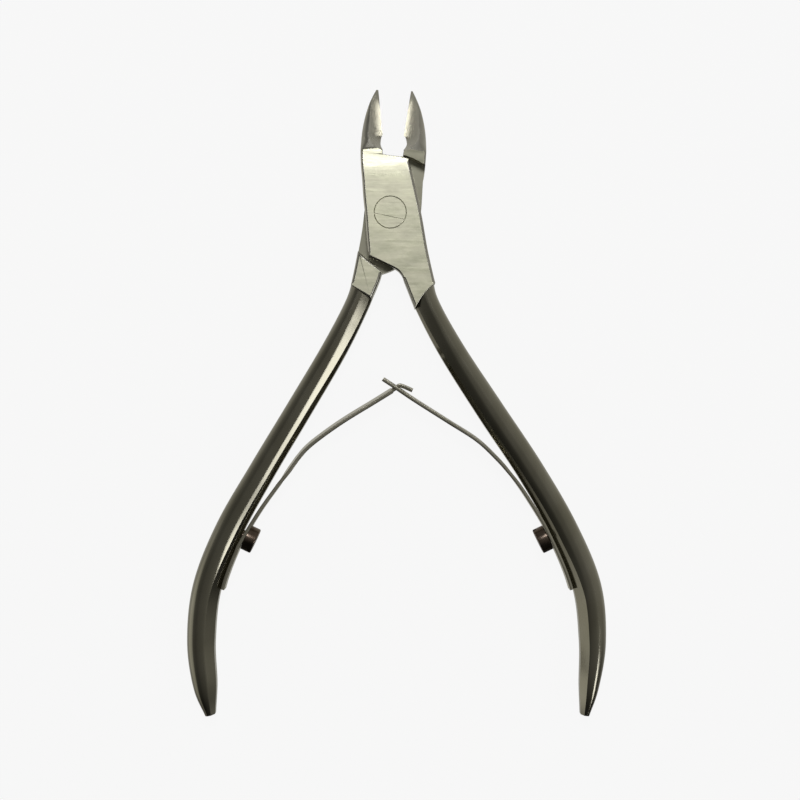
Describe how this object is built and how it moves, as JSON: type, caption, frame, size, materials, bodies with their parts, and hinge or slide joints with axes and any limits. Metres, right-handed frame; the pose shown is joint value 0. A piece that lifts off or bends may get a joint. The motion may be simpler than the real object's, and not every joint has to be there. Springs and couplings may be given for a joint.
{
  "type": "cuticle nipper",
  "caption": "Lap-jointed steel cuticle nipper with hollow-ground pointed jaws, bowed handles and interlocked double leaf springs held by slotted screws.",
  "frame": {"origin": "on the resting face (the flat back of the lap joint), on the axis of the pivot screw", "axes": "+Z along the pivot, from the back face to the front face; +Y towards the jaws; handles towards -Y; +X to the right seen from the front"},
  "size_m": [0.0697, 0.1045, 0.006],
  "materials": {
    "lever_steel": "satin, with polished handles",
    "pivot_steel": "satin",
    "spring_steel": "satin",
    "screw_steel": "polished, darkened"
  },
  "bodies": {
    "back_lever": {"back_lever": "lever_steel", "pivot_screw": "pivot_steel", "left_spring_base": "spring_steel", "left_spring_screw": "screw_steel"},
    "front_lever": {"front_lever": "lever_steel", "right_spring_base": "spring_steel", "right_spring_screw": "screw_steel"},
    "left_spring_arm": {"left_spring_arm": "spring_steel"},
    "right_spring_arm": {"right_spring_arm": "spring_steel"}
  },
  "joints": [
    {"name": "pivot", "type": "hinge", "parent": "back_lever", "child": "front_lever", "pos_m": [0, 0, 0.003], "axis": [0, 0, -1], "range_deg": [0, 14.9], "stiffness_Nm_per_rad": 1.2},
    {"name": "left_leaf_flex", "type": "hinge", "parent": "back_lever", "child": "left_spring_arm", "pos_m": [-0.01545, -0.04067, 0.003], "axis": [0, 0, 1], "range_deg": [0, 14.2]},
    {"name": "right_leaf_flex", "type": "hinge", "parent": "front_lever", "child": "right_spring_arm", "pos_m": [0.0177, -0.04067, 0.003], "axis": [0, 0, -1], "range_deg": [0, 15]}
  ],
  "couplings": [
    {"joint": "left_leaf_flex", "follows": "pivot", "ratio": 0.93},
    {"joint": "right_leaf_flex", "follows": "pivot", "ratio": 0.99}
  ]
}
